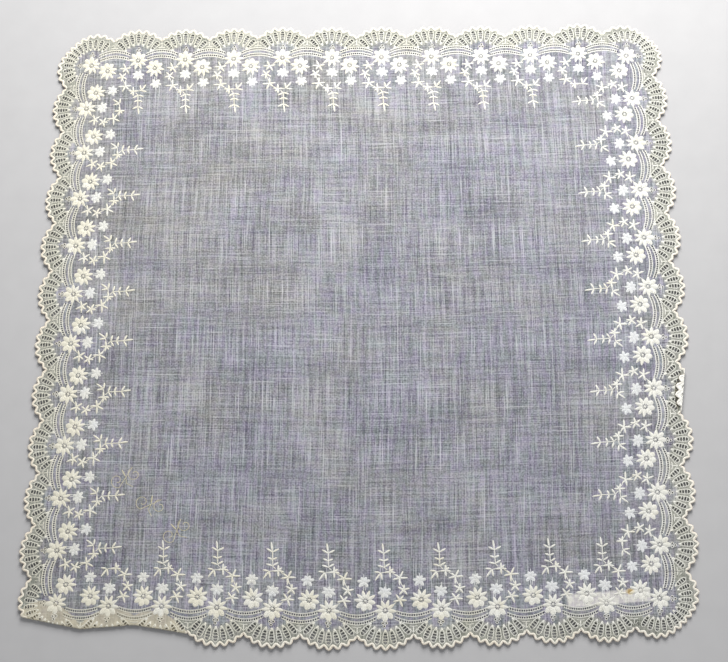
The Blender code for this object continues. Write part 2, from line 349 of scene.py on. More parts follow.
EDGE_CURL_WAVE = NOTCH_LINE / 2

TAPE_LONG = 38.0
TAPE_WIDE = 6.2
TAPE_THICK = 0.7
TAPE_PLACE = Vector((109.8, -131.8))
TAPE_TURN = math.radians(3.5)
TAPE_REACH = Vector((20.7, 5.8))

# %% Bows, lifts and folds
def run_of(values, along):
    """A side's value at a place along it, between the two nearest stations."""
    for low, high, first, second in zip(STATIONS, STATIONS[1:], values, values[1:]):
        if along <= high:
            share = max(0.0, (along - low) / (high - low))
            return first + share * (second - first)
    return values[-1]


def bowed(point):
    """A point of the flat cloth, moved with the runs of the four sides."""
    across = (point.x / NOTCH_LINE + 1) / 2
    away = (point.y / NOTCH_LINE + 1) / 2
    move = Vector((0.0, 0.0))
    for side, share in (("left", 1 - across), ("right", across)):
        move += share * Vector((run_of(ACROSS[side], point.y), run_of(ALONG[side], point.y)))
    for side, share in (("bottom", 1 - away), ("top", away)):
        move += share * Vector((run_of(ALONG[side], point.x), run_of(ACROSS[side], point.x)))
    return point + move


def ramp(distance):
    """1 up to a line, then falling evenly to 0."""
    return max(0.0, min(1.0, 1.0 - distance / RAMP))


def lift(point):
    """How far the cloth is raised above its rest, by what lies under it and by its own curl."""
    under = ramp(point.x - UNDER_END) * ramp(point.y - UNDER_REACH)
    tape_x = ramp(abs(point.x - TAPE_PLACE.x) - TAPE_REACH.x)
    tape_y = ramp(abs(point.y - TAPE_PLACE.y) - TAPE_REACH.y)
    raised = max(under, tape_x * tape_y)
    edge = max(abs(point.x), abs(point.y)) - (NOTCH_LINE - EDGE_CURL_DEEP)
    wave_x = math.cos(math.tau * point.x / EDGE_CURL_WAVE)
    wave_y = math.cos(math.tau * point.y / EDGE_CURL_WAVE)
    curl = EDGE_CURL * max(0.0, min(1.0, edge / EDGE_CURL_DEEP)) * (1.0 - wave_x * wave_y) / 2
    return LIFT * raised + curl * (1.0 - raised)


def crease(x):
    """The y of the tucked edge's crease at this x."""
    for low, high in zip(UNDER_CREASE, UNDER_CREASE[1:]):
        if x <= high.x:
            return low.y + (x - low.x) / (high.x - low.x) * (high.y - low.y)
    return UNDER_CREASE[-1].y


OVER_ALONG = (OVER_END - OVER_START).normalized()
OVER_OUT = Vector((OVER_ALONG.y, -OVER_ALONG.x))


def in_over_scallop(point):
    """Whether a flat point is in the scallop whose tip has turned over."""
    low, high = (notch * PITCH for notch in OVER_NOTCHES)
    return low <= point.y <= high and point.x > NOTCH_LINE - FAN_DEPTH


def fold_round(foot, out, beyond, way):
    """A point beyond a crease, carried round the arc and back, over (1) or under (-1) the cloth."""
    turn = min(math.pi, beyond / FOLD_RADIUS)
    back = max(0.0, beyond - math.pi * FOLD_RADIUS)
    point = foot + out * (FOLD_RADIUS * math.sin(turn) - back)
    rise = way * FOLD_RADIUS * (1 - math.cos(turn))
    lean = out * (-way * math.sin(turn))
    return point, rise, Vector((lean.x, lean.y, math.cos(turn)))


def laid_point(flat):
    """Where a flat point comes to lie, in millimetres, before the shift to the solid's place."""
    point = flat.xy
    normal = Vector((0.0, 0.0, 1.0))
    beyond = (point - OVER_START).dot(OVER_OUT)
    if beyond > 0.0 and in_over_scallop(point):
        point, rise, normal = fold_round(point - OVER_OUT * beyond, OVER_OUT, beyond, 1)
        rise += lift(point)
    elif point.x < UNDER_CREASE[-1].x and point.y < crease(point.x):
        foot = Vector((point.x, crease(point.x)))
        point, rise, normal = fold_round(foot, Vector((0.0, -1.0)), foot.y - point.y, -1)
        rise += LIFT
    else:
        rise = lift(point)
    spot = bowed(point)
    return Vector((spot.x, spot.y, REST + rise)) + normal * flat.z


# %% The shift to the solid's place
edge_drawing = [place @ point.to_3d() for place in SCALLOP_PLACES for point in fan_edge(0.0)]
edge_drawing += [place @ point.to_3d() for place in CORNER_PLACES for point in corner_edge(0.0)]
laid_edge = [laid_point(point) for point in edge_drawing]
solid_low, solid_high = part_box("handkerchief")
SHIFT = Vector((0.0, 0.0, 0.0))
for axis in (0, 1):
    middle = (min(point[axis] for point in laid_edge) + max(point[axis] for point in laid_edge)) / 2
    SHIFT[axis] = (solid_low[axis] + solid_high[axis]) / 2 / MM - middle
print("shift to the solid", [round(value, 2) for value in SHIFT], "mm")


def lay(bm):
    """Lays a flat drawing: keeps its flat places as an attribute, and moves it, into metres."""
    flat = bm.verts.layers.float_vector.get("flat") or bm.verts.layers.float_vector.new("flat")
    for vert in bm.verts:
        vert[flat] = vert.co
        vert.co = (laid_point(vert.co) + SHIFT) * MM

# %% [markdown]
# ## Drawing with needle and thread
#
# Three shapes make nearly all of the work. A thread is an oval section drawn along a line, for
# stems, rails and cords. A satin leaf is a low pad of close parallel stitches, for petals and
# leaves, made from a sphere that is squashed and pulled to its points. A hole is a small loop that
# the cloth's mesh is filled around. Each mesh point keeps its place within its own stitch, along,
# across and up, so that one finish can run the threads the right way on every petal.

# %% Helpers for meshes
def new_drawing():
    """An empty drawing whose points keep their place within their own stitch."""
    bm = bmesh.new()
    bm.verts.layers.float_vector.new("stitch")
    return bm


def to_mesh(bm, name):
    """The drawing as a mesh, which frees it."""
    mesh = bpy.data.meshes.new(name)
    bm.to_mesh(mesh)
    bm.free()
    return mesh


def drawn(name, draw, *arguments, **settings):
    """The mesh that a drawing function makes on an empty drawing."""
    bm = new_drawing()
    draw(bm, *arguments, **settings)
    return to_mesh(bm, name)


def stamp(bm, mesh, place):
    """Adds a copy of a drawn mesh at a place."""
    start = len(bm.verts)
    bm.from_mesh(mesh)
    bm.verts.ensure_lookup_table()
    bmesh.ops.transform(bm, matrix=place, verts=bm.verts[start:])


def finish_piece(bm, name, finish, sharp=0.7):
    """Lays a drawing and makes it a smooth-shaded piece that rides on the frame."""
    bmesh.ops.recalc_face_normals(bm, faces=bm.faces)
    lay(bm)
    mesh = to_mesh(bm, name)
    mesh.shade_smooth()
    mesh.set_sharp_from_angle(angle=sharp)
    mesh.materials.append(finish.material)
    piece = bpy.data.objects.new(name, mesh)
    bpy.context.scene.collection.objects.link(piece)
    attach(piece, "root")
    mesh.calc_loop_triangles()
    print(name, len(mesh.loop_triangles), "triangles")
    return piece


# %% A thread
def thread(bm, points, wide, high, closed=False, sides=6, ends=None):
    """A thread along flat points. Given the directions at its two ends, it is left open there."""
    stitch = bm.verts.layers.float_vector["stitch"]
    points = [Vector(point[:2]) for point in points]
    count = len(points)
    frames = []
    for index, point in enumerate(points):
        before = points[index - 1] if closed or index > 0 else point
        after = points[(index + 1) % count] if closed or index < count - 1 else point
        run = (after - before).normalized()
        if ends and index in (0, count - 1):
            run = Vector(ends[0 if index == 0 else 1])
        place = Matrix(((run.x, run.y, 0.0), (-run.y, run.x, 0.0), (0.0, 0.0, 1.0))).transposed().to_4x4()
        place.translation = point.to_3d()
        frames.append(place @ Matrix.Diagonal((1.0, wide / 2, high / 2, 1.0)))
    upright = Matrix.Rotation(math.pi / 2, 4, "Y")
    ring = bmesh.ops.create_circle(bm, segments=sides, radius=1.0, matrix=frames[0] @ upright)["verts"]
    edges = list(dict.fromkeys(edge for vert in ring for edge in vert.link_edges))
    first = edges
    travelled = 0.0
    for vert in ring:
        vert[stitch] = (0.0, (frames[0].inverted() @ vert.co).y, vert.co.z)
    for index in range(1, count):
        grown = bmesh.ops.extrude_edge_only(bm, edges=edges)["geom"]
        ring = [item for item in grown if isinstance(item, bmesh.types.BMVert)]
        edges = [item for item in grown if isinstance(item, bmesh.types.BMEdge)]
        bmesh.ops.transform(bm, matrix=frames[index] @ frames[index - 1].inverted(), verts=ring)
        travelled += (points[index] - points[index - 1]).length
        for vert in ring:
            vert[stitch].x = travelled
    if closed:
        bmesh.ops.bridge_loops(bm, edges=first + edges)
    elif not ends:
        bmesh.ops.holes_fill(bm, edges=first + edges, sides=sides)


# %% A satin leaf and a hole
def satin_leaf(bm, root, tip, wide, high=0.5, point=1.3, fullest=0.0):
    """A satin-stitched leaf from its root to its tip, pointed or blunt, fullest nearer one end."""
    stitch = bm.verts.layers.float_vector["stitch"]
    root, tip = Vector(root[:2]), Vector(tip[:2])
    run = tip - root
    verts = bmesh.ops.create_uvsphere(bm, u_segments=8, v_segments=6, radius=1.0)["verts"]
    bmesh.ops.rotate(bm, verts=verts, matrix=Matrix.Rotation(math.pi / 2, 3, "Y"))
    for vert in verts:
        along = max(-1.0, min(1.0, vert.co.x))
        girth = math.sqrt(1.0 - along ** 2)
        pull = girth ** (point - 1.0) if girth > 0.01 else 0.0
        vert.co.x = along + fullest * girth ** 2
        vert.co.y *= pull * wide / 2
        vert.co.z = math.copysign(abs(vert.co.z) ** 0.6, vert.co.z) * pull * high / 2
        vert.co.x *= run.length / 2
        vert[stitch] = vert.co
    place = Matrix.Translation(((root + tip) / 2).to_3d())
    place = place @ Matrix.Rotation(math.atan2(run.y, run.x), 4, "Z")
    bmesh.ops.transform(bm, matrix=place, verts=verts)


def cut_hole(bm, centre, wide, long, turn=0.0, sides=8):
    """The edge of a hole, which the cloth is filled around later."""
    place = Matrix.Translation((centre[0], centre[1], 0.0)) @ Matrix.Rotation(turn, 4, "Z")
    place = place @ Matrix.Diagonal((wide / 2, long / 2, 1.0, 1.0))
    bmesh.ops.create_circle(bm, segments=sides, radius=1.0, matrix=place)


def at(along, depth):
    """A place on a scallop: along its side from the middle, and in from the notch line."""
    return Vector((along, -depth))


def towards(centre, angle, reach):
    """The point at an angle in degrees and a distance from a centre."""
    turn = math.radians(angle)
    return Vector((centre[0] + reach * math.cos(turn), centre[1] + reach * math.sin(turn)))


# %% [markdown]
# ## Where the openwork goes
#
# The fans are rows of four small holes, called ladders here, that stand like the ribs of a fan. Two
# chains of tiny squares run from flower to flower, and each flower has a ring of pin holes round
# its middle. These places are needed twice, for the holes in the cloth and for the threads round
# them, so they are worked out once.

# %% Places of ladders, chains and eyelets
LADDER_GAP = 1.25
CORNER_GAP = 1.12
LADDER_HOLES = ((0.64, 1.25), (0.70, 1.70), (0.86, 2.00), (0.72, 1.60))
CHAIN_HOLES = 8
CHAINS = ((6.0, 2.1, 8.1, 8.1), (9.0, 1.3, 6.9, 7.3))
TRIO = ((0.4, 4.6), (-0.5, 5.9), (1.0, 5.9))
BIG_FLOWER = at(0.0, 11.3)
SECOND_FLOWER = at(8.6, 15.6)
CORNER_FLOWER = Vector((CORNER_DEPTH, -CORNER_DEPTH))
CORNER_SECOND = Vector((21.1, -16.5))
PIN_RING = 0.88
PIN_HOLES = 8
PIN_TURN = 15


def fan_ladders():
    """Each ladder of a scallop: the fan's centre, its angle, its middle's distance and its gap."""
    rows = []
    for step in range(-3, 4):
        angle = 90.0 - 13.5 * step
        rows.append((at(0.0, FAN_DEPTH), angle, 14.05 - 0.8 * (step / 3) ** 2, LADDER_GAP))
    return rows


def corner_ladders():
    """Each ladder of a corner."""
    rows = []
    for step in range(-6, 7):
        angle = 13.4 * step
        middle = 12.1 - 1.1 * math.cos(math.radians(angle)) ** 4
        rows.append((CORNER_FLOWER, 135.0 + angle, middle, CORNER_GAP))
    return rows


def chain_line(row, travelled):
    """A point of one of the two chains, at a distance along from the notch."""
    depth, drop, at_distance, end = CHAINS[row]
    return Vector((travelled, -depth - drop * (travelled / at_distance) ** 2))


def pin_holes(centre):
    """The ring of pin holes round a flower's middle."""
    return [towards(centre, 360 * index / PIN_HOLES + PIN_TURN, PIN_RING) for index in range(PIN_HOLES)]


# %% [markdown]
# ## The cloth
#
# One scallop of cloth is an outline with holes in it, filled with triangles, and it is stamped
# forty times round the edge, with four corners and a plain grid for the middle. Cutting three
# thousand holes with Boolean modifiers would take minutes, and filling round them takes no time.
# A few straight cuts give the cloth points to bend at, and the creases get close ones.

# %% One scallop and one corner of cloth
CLOTH_INSET = 0.55
CLOTH_THICK = 0.2
NOTCH_INSET = CLOTH_INSET * 1.5
GRID_CELLS = 6
GRID_CELL = PITCH / GRID_CELLS
GRID_HIGHEST = -11.5
FAN_GROUND = 6.0
FAN_ROOT = 10.9
CORNER_ROOT = 8.7
CHAIN_HOLE = 0.82
TRIO_HOLE = 0.66
PIN_HOLE = 0.42
NEAR_ZERO = 0.002
CORNER_TRIOS = (
    Matrix.Translation((CORNER_DEPTH, -1.5, 0.0)),
    Matrix.Translation((1.5, -CORNER_DEPTH, 0.0)) @ Matrix.Rotation(math.pi / 2, 4, "Z"),
)


def outline(bm, points):
    """A closed line of edges through points."""
    verts = [bm.verts.new((point.x, point.y, 0.0)) for point in points]
    for start, end in zip(verts, verts[1:] + verts[:1]):
        bm.edges.new((start, end))


def cut_ladder_holes(bm, ladders):
    """The holes of these ladders, the end ones smaller and the third one the largest."""
    for centre, angle, middle, gap in ladders:
        for index, (wide, long) in enumerate(LADDER_HOLES):
            place = towards(centre, angle, middle + (index - 1.5) * gap)
            cut_hole(bm, place, wide * gap, long * gap / LADDER_GAP, math.radians(angle))


def cut_chain_holes(bm, place, direction):
    """Half of a notch's two chains of square holes, on one side of the notch."""
    for row in range(len(CHAINS)):
        for index in range(CHAIN_HOLES):
            spot = chain_line(row, index + 0.5)
            centre = place @ Vector((spot.x * direction, spot.y, 0.0))
            turn = math.radians(45) + index * 0.03 * direction
            cut_hole(bm, centre, CHAIN_HOLE, CHAIN_HOLE, turn, sides=4)


def cut_round_holes(bm, spots, wide, sides):
    """Small round holes, all of one size."""
    for spot in spots:
        cut_hole(bm, spot, wide, wide, sides=sides)


def cut_eyelets(bm, flowers, trios):
    """The pin holes round each flower's middle, and three eyelets at each trio's place."""
    for centre in flowers:
        cut_round_holes(bm, pin_holes(centre), PIN_HOLE, 5)
    for place in trios:
        cut_round_holes(bm, [place @ at(*spot).to_3d() for spot in TRIO], TRIO_HOLE, 6)


def mark_fan(bm, centre, root, depth):
    """Marks the ground among a fan's ladders, which is worked more densely than the rest."""
    zone = bm.verts.layers.float_vector.new("zone")
    for vert in bm.verts:
        outside = (vert.co.xy - centre).length > root
        vert[zone].x = 1.0 if outside and depth(vert.co) < FAN_GROUND else 0.0


def fill_cloth(bm, start, highest=math.inf):
    """Fills an outline round its holes, and cuts it along a grid's lines, up to a height."""
    bmesh.ops.triangle_fill(bm, use_beauty=True, use_dissolve=False, edges=bm.edges)
    for index in range(-GRID_CELLS, 2 * GRID_CELLS + 1):
        for across in (Vector((1, 0, 0)), Vector((0, 1, 0))):
            place = start + across * index * GRID_CELL
            if across.y and place.y > highest:
                continue
            geom = bm.verts[:] + bm.edges[:] + bm.faces[:]
            bmesh.ops.bisect_plane(bm, geom=geom, dist=NEAR_ZERO, plane_co=place, plane_no=across)


def draw_scallop_cloth(bm):
    """The cloth of one scallop, from its edge in to the plain middle."""
    left = [Vector((-HALF_PITCH, -BORDER)), Vector((-HALF_PITCH, -NOTCH_INSET))]
    right = [Vector((HALF_PITCH, -NOTCH_INSET)), Vector((HALF_PITCH, -BORDER))]
    outline(bm, left[1:] + fan_edge(CLOTH_INSET) + right + left[:1])
    cut_ladder_holes(bm, fan_ladders())
    cut_eyelets(bm, (BIG_FLOWER, SECOND_FLOWER), [Matrix.Identity(4)])
    for direction in (1, -1):
        cut_chain_holes(bm, Matrix.Translation((-direction * HALF_PITCH, 0.0, 0.0)), direction)
    mark_fan(bm, at(0.0, FAN_DEPTH), FAN_ROOT, lambda point: -point.y)
    fill_cloth(bm, Vector((-HALF_PITCH, -BORDER, 0.0)), GRID_HIGHEST)


def draw_corner_cloth(bm):
    """The cloth of one corner."""
    ends = [Vector((NOTCH_INSET, -BORDER)), Vector((BORDER, -BORDER))]
    outline(bm, [Vector((BORDER, -NOTCH_INSET))] + corner_edge(CLOTH_INSET) + ends)
    cut_ladder_holes(bm, corner_ladders())
    cut_eyelets(bm, (CORNER_FLOWER, CORNER_SECOND), CORNER_TRIOS)
    cut_chain_holes(bm, Matrix.Translation((BORDER, 0.0, 0.0)), -1)
    left_end = Matrix.Translation((0.0, -BORDER, 0.0)) @ Matrix.Rotation(math.pi / 2, 4, "Z")
    cut_chain_holes(bm, left_end, 1)
    mark_fan(bm, CORNER_FLOWER, CORNER_ROOT, lambda point: min(point.x, -point.y))
    fill_cloth(bm, Vector((BORDER - PITCH, -BORDER - PITCH, 0.0)))


scallop_cloth = drawn("scallop", draw_scallop_cloth)
corner_cloth = drawn("corner", draw_corner_cloth)
print("cloth of a scallop", len(scallop_cloth.polygons), "and of a corner", len(corner_cloth.polygons))

# %% Creases
def cut_rows(bm, inside, start, direction, across):
    """Close parallel cuts over one fold's arc, through the faces whose middle passes a test."""
    step = math.pi * FOLD_RADIUS / FOLD_STEPS
    for index in range(FOLD_STEPS + 1):
        faces = [face for face in bm.faces if inside(face.calc_center_median())]
        verts = dict.fromkeys(vert for face in faces for vert in face.verts)
        edges = dict.fromkeys(edge for face in faces for edge in face.edges)
        place = (start + direction * index * step).to_3d()
        geom = [*verts, *edges, *faces]
        bmesh.ops.bisect_plane(bm, geom=geom, dist=NEAR_ZERO, plane_co=place, plane_no=across)


def cut_creases(bm):
    """Cuts along each fold, so that the cloth can turn there in even steps."""
    for low, high in zip(UNDER_CREASE, UNDER_CREASE[1:]):
        slope = (high - low).normalized()
        cut_rows(bm, lambda spot: low.x < spot.x < high.x and spot.y < UNDER_REACH,
                 low, Vector((0.0, -1.0)), Vector((slope.y, -slope.x, 0.0)))
    cut_rows(bm, in_over_scallop, OVER_START, OVER_OUT, OVER_OUT.to_3d())

# %% The whole cloth, flat
CORNER_HEM = 16.9
NO_HEM = 9.0


def scallop_bulge(along):
    """How far a scallop's edge stands out beyond its notch line, without its points."""
    along = (along + HALF_RUN) % PITCH - HALF_PITCH
    reach = FAN_REACH - 0.25 * (along / HALF_PITCH) ** 2
    return math.sqrt(reach ** 2 - along ** 2) - FAN_DEPTH


def mark_hem(bm):
    """Marks how far each point lies inside the end of the tucked edge under the cloth."""
    zone = bm.verts.layers.float_vector["zone"]
    for vert in bm.verts:
        beyond_corner = vert.co.x + NOTCH_LINE - CORNER_DEPTH
        bulge = math.sqrt(max(0.0, CORNER_HEM ** 2 - beyond_corner ** 2)) - CORNER_DEPTH
        if vert.co.x > -HALF_RUN:
            bulge = scallop_bulge(vert.co.x)
        fold = crease(vert.co.x)
        hem = fold + NOTCH_LINE + bulge if vert.co.x < UNDER_CREASE[-1].x else 0.0
        vert[zone].y = vert.co.y - fold - hem if hem > 0.0 else NO_HEM


cloth_sheet = new_drawing()
cloth_sheet.verts.layers.float_vector.new("zone")
for place in SCALLOP_PLACES:
    stamp(cloth_sheet, scallop_cloth, place)
for place in CORNER_PLACES:
    stamp(cloth_sheet, corner_cloth, place)
cells = SCALLOPS * GRID_CELLS
bmesh.ops.create_grid(cloth_sheet, x_segments=cells, y_segments=cells, size=HALF_RUN)
bmesh.ops.remove_doubles(cloth_sheet, verts=cloth_sheet.verts, dist=0.01)
cut_creases(cloth_sheet)
bmesh.ops.triangulate(cloth_sheet, faces=cloth_sheet.faces)
mark_hem(cloth_sheet)
downward = [face for face in cloth_sheet.faces if face.normal.z < 0.0]
bmesh.ops.reverse_faces(cloth_sheet, faces=downward)
FLAT_AREA = sum(face.calc_area() for face in cloth_sheet.faces) * MM * MM
bmesh.ops.translate(cloth_sheet, verts=cloth_sheet.verts, vec=(0, 0, CLOTH_THICK / 2))
bmesh.ops.solidify(cloth_sheet, geom=cloth_sheet.faces, thickness=CLOTH_THICK)
heights = sorted({round(vert.co.z, 2) for vert in cloth_sheet.verts})
print("the flat cloth lies between", heights[0], "and", heights[-1], "mm")
print("flat cloth of", round(FLAT_AREA, 4), "square metres,", len(cloth_sheet.faces), "faces")

# %% [markdown]
# ## The finish of the cloth
#
# The yarn is uneven, so the cloth is full of long, thin, bright and dark streaks along both threads,
# more of them upright, with a thick bright thread here and there, a fine grain, and a slow drift
# between cool and warm. Noise that is stretched along one thread gives such streaks. They change the
# colour, and also how much the cloth lets through. The single threads are too small for the
# photograph, and show in a close view.
#
# A few places differ: the fan ground is denser, the tucked edge shows through as cream, the scallop
# that has turned over is whiter with a painted line of shadow beside it, and the tape behind the cloth
# shows as a white bar with a small brown stain at one end.

# %% Marked places on the cloth
STAIN_PLACE = Vector((119.8, -129.2))
STAIN_SIZE = Vector((2.3, 1.5))
STAIN_PALE = (0.80, 0.66, 0.36, 1.0)
STAIN_DARK = (0.42, 0.27, 0.08, 1.0)
# Colour of the painted shadow beside the turned-over edge.
FLAP_SHADE = (0.10, 0.085, 0.045, 1.0)


def stain(finish, x, y):
    """1 in the middle of the small brown stain, falling to 0 round it."""
    across = (x - STAIN_PLACE.x) / STAIN_SIZE.x
    away = (y - STAIN_PLACE.y) / STAIN_SIZE.y
    ragged = 0.8 * finish.speckle(x / 1.2, y / 1.2, 3.0) - 0.4
    return 1.0 - finish.step(across * across + away * away + ragged, 0.1, 1.2)


def beyond_crease(x, y):
    """How far a flat place is beyond the crease of the scallop that has turned over."""
    return (x - OVER_START.x) * OVER_OUT.x + (y - OVER_START.y) * OVER_OUT.y


def turned_over(finish, x, y):
    """1 where the scallop has turned over onto the face, and 0 elsewhere."""
    low, high = (notch * PITCH for notch in OVER_NOTCHES)
    inside = finish.step(y, low - 0.1, low + 0.1) * (1.0 - finish.step(y, high - 0.1, high + 0.1))
    return inside * finish.step(beyond_crease(x, y), 0.3, 0.6)


def painted_flap_shadow(finish, x, y):
    """1 in a narrow band of the cloth along the turned-over edge that lies on it, where a shadow is
    painted.
    """
    beyond = beyond_crease(x, y)
    mirror = math.pi * FOLD_RADIUS - 2.0 * beyond
    away = x + mirror * OVER_OUT.x - (NOTCH_LINE - FAN_DEPTH)
    along = y + mirror * OVER_OUT.y - (OVER_NOTCHES[0] + 0.5) * PITCH
    reach = (away * away + along * along) / FAN_REACH ** 2
    band = finish.step(reach, 0.92, 0.97) * (1.0 - finish.step(reach, 1.07, 1.14))
    near = finish.step(x, NOTCH_LINE - 6.0, NOTCH_LINE - 5.0)
    return band * (1.0 - finish.step(beyond, -1.2, -0.6)) * near


def over_tape(finish, x, y):
    """1 over the tape that is sewn behind the cloth, and 0 elsewhere."""
    sine, cosine = math.sin(TAPE_TURN), math.cos(TAPE_TURN)
    along = cosine * (x - TAPE_PLACE.x) + sine * (y - TAPE_PLACE.y)
    across = cosine * (y - TAPE_PLACE.y) - sine * (x - TAPE_PLACE.x)
    past_end = finish.step(finish.size_of(along), TAPE_LONG / 2 - 0.8, TAPE_LONG / 2 + 0.3)
    past_side = finish.step(finish.size_of(across), TAPE_WIDE / 2 - 0.8, TAPE_WIDE / 2 + 0.3)
    return (1.0 - past_end) * (1.0 - past_side)


# %% Sheer cloth
THREAD_PITCH = 0.36
COOL_DARK = ((0.115, 0.103, 0.172, 1.0), (0.100, 0.120, 0.134, 1.0))
COOL_LIGHT = ((0.490, 0.472, 0.580, 1.0), (0.458, 0.496, 0.532, 1.0))
WARM = ((0.130, 0.130, 0.120, 1.0), (0.520, 0.510, 0.480, 1.0))
THICK_YARN = (0.68, 0.69, 0.73, 1.0)
DENSE_GROUND = ((0.15, 0.16, 0.12, 1.0), (0.46, 0.46, 0.38, 1.0))
TUCKED_CREAM = (0.66, 0.60, 0.45, 1.0)
FLAP_WHITE = (0.93, 0.92, 0.87, 1.0)
TAPE_SEEN = ((0.70, 0.67, 0.69, 1.0), (0.88, 0.87, 0.80, 1.0))


def sheer_cloth():
    """The ground's finish: grey-white lawn with uneven threads."""
    finish = Finish("sheer_cloth", 0.88)
    x, y = finish.attribute("flat")
    fan, hem = finish.attribute("zone")
    light_up = finish.step(finish.speckle(x / 0.42, y / 24.0, 3.0, 0.0), 0.50, 0.74)
    light_across = finish.step(finish.speckle(x / 22.0, y / 0.42, 11.0, 0.0), 0.52, 0.76)
    gap_up = finish.step(finish.speckle(x / 0.50, y / 15.0, 7.0, 0.0), 0.50, 0.78)
    gap_across = finish.step(finish.speckle(x / 15.0, y / 0.50, 13.0, 0.0), 0.50, 0.78)
    slub_up = finish.step(finish.speckle(x / 0.45, y / 26.0, 31.0, 0.0), 0.71, 0.79)
    slub_across = finish.step(finish.speckle(x / 26.0, y / 0.45, 37.0, 0.0), 0.73, 0.81)
    bands_up = finish.speckle(x / 1.4, y / 75.0, 29.0, 1.0)
    bands_across = finish.speckle(x / 75.0, y / 1.4, 19.0, 1.0)
    mottle = finish.speckle(x / 2.6, y / 3.6, 17.0, 2.0)
    clouds = finish.speckle(x / 34.0, y / 34.0, 23.0, 1.0)
    grain = finish.speckle(x / 0.80, y / 0.80, 47.0, 1.0)
    shade = 0.29 * light_up + 0.22 * light_across - 0.20 * gap_up - 0.16 * gap_across
    shade = shade + 0.50 * (bands_up - 0.5) + 0.32 * (bands_across - 0.5)
    shade = shade + 0.30 * (mottle - 0.5) + 0.34 * (clouds - 0.5) + 0.90 * (grain - 0.5)
    shade = shade + 0.34 * slub_up + 0.28 * slub_across
    value = finish.step(0.48 + shade, -0.1, 1.1)

    tint_up = finish.step(finish.speckle(x / 2.4, y / 8.0, 41.0, 2.0), 0.33, 0.67)
    tint_across = finish.step(finish.speckle(x / 8.0, y / 2.4, 43.0, 2.0), 0.33, 0.67)
    drift = finish.speckle(x / 30.0, y / 30.0, 53.0, 1.0) - 0.5
    aged = finish.step(y - x, -60.0, 200.0)
    colour = finish.blend(value, finish.blend(tint_up, *COOL_DARK), finish.blend(tint_up, *COOL_LIGHT))
    warmth = 0.33 * tint_across + 0.30 * aged + 1.1 * drift
    colour = finish.blend(warmth, colour, finish.blend(value, *WARM))
    colour = finish.blend(0.4 * slub_up + 0.4 * slub_across, colour, THICK_YARN)

    dense = finish.step(fan, 0.2, 0.9)
    colour = finish.blend(0.75 * dense, colour, finish.blend(value, *DENSE_GROUND))
    tucked = 1.0 - finish.step(hem, -0.5, 0.35)
    colour = finish.blend(tucked * (0.50 + 0.40 * mottle), colour, TUCKED_CREAM)
    turned = turned_over(finish, x, y)
    # Painted shadow: a dark line on the cloth along the edge of the turned-over scallop.
    colour = finish.blend(0.8 * painted_flap_shadow(finish, x, y), colour, FLAP_SHADE)
    colour = finish.blend(turned * 0.9, colour, FLAP_WHITE)
    blots = finish.step(mottle, 0.40, 0.62)
    colour = finish.blend(over_tape(finish, x, y) * 0.88, colour, finish.blend(blots, *TAPE_SEEN))
    brown = stain(finish, x, y)
    colour = finish.blend(0.8 * brown, colour, STAIN_PALE)
    colour = finish.blend(0.8 * finish.step(brown, 0.72, 1.0), colour, STAIN_DARK)
    finish.paint("Base Color", colour)

    weave = 0.5 + 0.25 * (finish.wave(x, THREAD_PITCH) + finish.wave(y, THREAD_PITCH))
    solid_share = 0.66 + 0.22 * value + 0.06 * weave
    finish.paint("Alpha", solid_share + 0.25 * dense + 0.2 * turned)
    finish.relief(weave + 0.6 * value, 0.00008)
    return finish


cloth = finish_piece(cloth_sheet, "cloth", sheer_cloth(), sharp=1.0)
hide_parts("handkerchief")

# %% [markdown]
# ## The finish of the thread
#
# The embroidery thread is soft white cotton, a little shiny, that has aged to cream. Satin stitches
# lie side by side across a petal, so the finish draws fine ridges along the place within the
# stitch, as bumps and as painted shade between them. The edge is the most handled part, and it
# is the most yellow.

# %% White thread
EDGE_TINT = (0.88, 0.69, 0.53, 1.0)
FLAP_THREAD = (0.93, 0.92, 0.88, 1.0)


def white_thread(name, pale, aged, ridge=0.3, edge_tint=0.0, flap=False):
    """Cotton thread in close stitches, from pale to aged, with ridges across each stitch and painted shade
    between them.
    """
    finish = Finish(name, 0.6)
    finish.shader.inputs["Sheen Weight"].default_value = 0.15
    along, across = finish.attribute("stitch")
    x, y = finish.attribute("flat")
    ridges = finish.wave(along, ridge)
    patches = finish.speckle(x / 9.0, y / 9.0, 5.0, 2.0)
    strands = finish.speckle(along / 0.25, across / 2.0, x * 0.3, 2.0)
    colour = finish.blend(finish.step(patches - 0.0012 * x, 0.35, 0.68), pale, aged)
    if edge_tint:
        colour = finish.blend(finish.step(across, 0.25, 0.95) * edge_tint, colour, EDGE_TINT)
    if flap:
        colour = finish.blend(0.8 * turned_over(finish, x, y), colour, FLAP_THREAD)
        # Painted shadow on the stitches along the turned-over edge.
        colour = finish.blend(0.8 * painted_flap_shadow(finish, x, y), colour, FLAP_SHADE)
    # Painted shade: a darker copy of the aged colour between the ridges and along the strands.
    lit = finish.step(0.5 + 0.16 * ridges + 0.9 * (strands - 0.5), -0.15, 0.65)
    shaded = tuple(value * 0.84 for value in aged[:3]) + (1.0,)
    colour = finish.blend(lit, shaded, colour)
    colour = finish.blend(0.5 * stain(finish, x, y), colour, STAIN_PALE)
    finish.paint("Base Color", colour)
    finish.relief(0.5 * ridges + strands, 0.0001)
    return finish


satin = white_thread("satin_thread", (0.87, 0.87, 0.82, 1.0), (0.84, 0.81, 0.68, 1.0))
blue_satin = white_thread("bleached_satin", (0.78, 0.80, 0.82, 1.0), (0.80, 0.80, 0.75, 1.0))
cord_thread = white_thread("cord_thread", (0.90, 0.87, 0.78, 1.0), (0.86, 0.80, 0.67, 1.0),
                           ridge=0.42, edge_tint=0.6, flap=True)
fine_thread = white_thread("fine_thread", (0.90, 0.90, 0.84, 1.0), (0.84, 0.82, 0.70, 1.0), flap=True)
gold_thread = white_thread("yellowed_thread", (0.66, 0.63, 0.46, 1.0), (0.60, 0.55, 0.36, 1.0))

